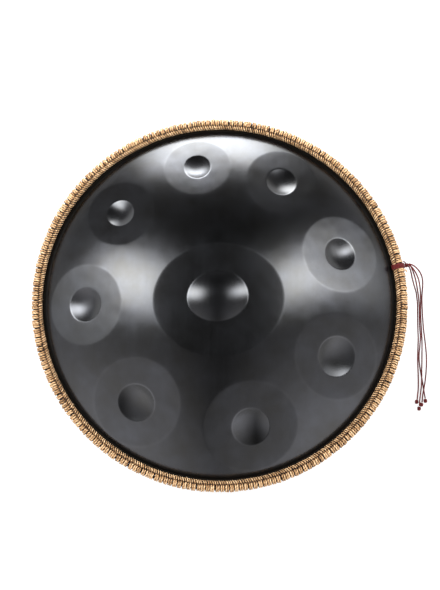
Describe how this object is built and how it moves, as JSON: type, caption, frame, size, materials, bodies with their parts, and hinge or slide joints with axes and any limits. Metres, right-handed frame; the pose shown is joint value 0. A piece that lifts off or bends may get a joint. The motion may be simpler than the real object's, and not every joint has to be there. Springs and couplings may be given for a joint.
{
  "type": "handpan",
  "caption": "Handpan with domed steel shells glued at a cord-bound rim, dimpled tone fields round a raised centre note, a port underneath and a waxed-cord tie.",
  "frame": {"origin": "on the drum's axis, at the height of the port lip that it rests on", "axes": "+Z along the drum's axis, from the port to the ding, with the drum lying as it is played; +X is 11.6 degrees clockwise, seen from above, of the cord tie; -Y is the side of the largest, lowest tone field"},
  "size_m": [0.6102, 0.57, 0.2095],
  "materials": {
    "shell_steel": "satin",
    "adhesive": "matte",
    "straw_cord": "matte",
    "waxed_cord": "satin"
  },
  "bodies": {
    "root": {"top_shell": "shell_steel", "bottom_shell": "shell_steel", "rim_adhesive": "adhesive", "rope_core_top": "straw_cord", "rope_core_bottom": "straw_cord", "rope_wrap": "straw_cord", "rope_chain_top": "straw_cord", "rope_chain_bottom": "straw_cord", "tie_turn_1": "waxed_cord", "tie_turn_2": "waxed_cord", "tie_turn_3": "waxed_cord", "tie_turn_4": "waxed_cord", "tie_knot": "waxed_cord", "tail_1": "waxed_cord", "tail_2": "waxed_cord", "tail_3": "waxed_cord", "tail_4": "waxed_cord", "end_knot_1": "waxed_cord", "end_knot_2": "waxed_cord", "end_knot_3": "waxed_cord", "end_knot_4": "waxed_cord"}
  },
  "joints": []
}
